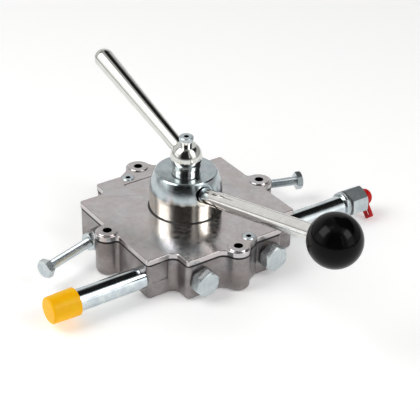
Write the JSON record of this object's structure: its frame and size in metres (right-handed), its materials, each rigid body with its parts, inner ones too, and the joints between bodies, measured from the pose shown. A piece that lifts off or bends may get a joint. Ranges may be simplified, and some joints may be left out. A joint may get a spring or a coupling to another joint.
{
  "type": "lever-operated rotary control unit",
  "caption": "Hand lever and hub on an aluminium housing, driving a rack bar in two side tubes, with a clamp lever, adjustable stops and capped tube ends.",
  "frame": {"origin": "hub axis at the housing's underside, centre of the four mounting holes", "axes": "+Z along the hub axis, up through the cover; X and Y along the sides of the 130 mm square of mounting holes; the rack tubes run along the (+X, +Y) diagonal, the capped tube towards (-X, -Y)"},
  "size_m": [0.3113, 0.3064, 0.1644],
  "materials": {
    "cast_aluminium": "as cast, lightly brushed",
    "zinc_steel": "bright zinc plated",
    "polished_steel": "polished",
    "hub_steel": "zinc plated top, ground seal face",
    "dark_steel": "machined, oiled",
    "spring_steel": "pressed and hardened",
    "bronze": "turned",
    "black_rubber": "matt",
    "gasket_fibre": "matt",
    "black_knob": "polished phenolic",
    "yellow_plastic": "soft polythene",
    "red_plastic": "soft polythene"
  },
  "bodies": {
    "housing": {"lower_housing": "cast_aluminium", "top_cover": "cast_aluminium", "cover_gasket": "gasket_fibre", "cover_screws": "zinc_steel", "dowel_pins": "dark_steel", "upper_bush": "bronze", "hub_seal_ring": "black_rubber", "lower_bush": "bronze", "friction_disc": "dark_steel", "clamp_spindle": "zinc_steel", "thrust_washer": "polished_steel", "disc_spring": "polished_steel", "spindle_spacer": "polished_steel", "spindle_cap_screw": "zinc_steel", "left_rack_tube": "zinc_steel", "right_rack_tube": "zinc_steel", "rack_bushes": "bronze", "tube_collar": "zinc_steel", "tube_lock_washer": "zinc_steel", "union_nut": "zinc_steel", "stop_screws": "zinc_steel", "stop_lock_nuts": "zinc_steel", "guide_plugs": "zinc_steel", "plug_washers": "dark_steel", "guide_springs": "spring_steel", "guide_yokes": "bronze"},
    "hub_and_lever": {"hub": "hub_steel", "shaft_key": "dark_steel", "pinion_segment": "dark_steel", "control_lever": "polished_steel", "ball_knob": "black_knob"},
    "rack": {"rack_bar": "dark_steel"},
    "clamp": {"clamp_lever": "polished_steel"},
    "cap": {"protective_cap": "yellow_plastic"},
    "plug": {"red_plug": "red_plastic"}
  },
  "joints": [
    {"name": "lever_turn", "type": "hinge", "parent": "housing", "child": "hub_and_lever", "pos_m": [0, 0, 0.06], "axis": [0, 0, 1], "range_deg": [-28, 38]},
    {"name": "rack_travel", "type": "slide", "parent": "housing", "child": "rack", "axis": [0.7071, 0.7071, 0], "range_m": [-0.02493, 0.03384]},
    {"name": "clamp_turn", "type": "hinge", "parent": "housing", "child": "clamp", "pos_m": [0, 0, 0.1], "axis": [0, 0, 1], "range_deg": [0, 120]},
    {"name": "cap_pull", "type": "slide", "parent": "housing", "child": "cap", "axis": [-0.7071, -0.7071, 0], "range_m": [0, 0.032]},
    {"name": "plug_pull", "type": "slide", "parent": "housing", "child": "plug", "axis": [0.7071, 0.7071, 0], "range_m": [0, 0.012]}
  ],
  "couplings": [
    {"joint": "rack_travel", "follows": "lever_turn", "m_per_rad": 0.051}
  ]
}
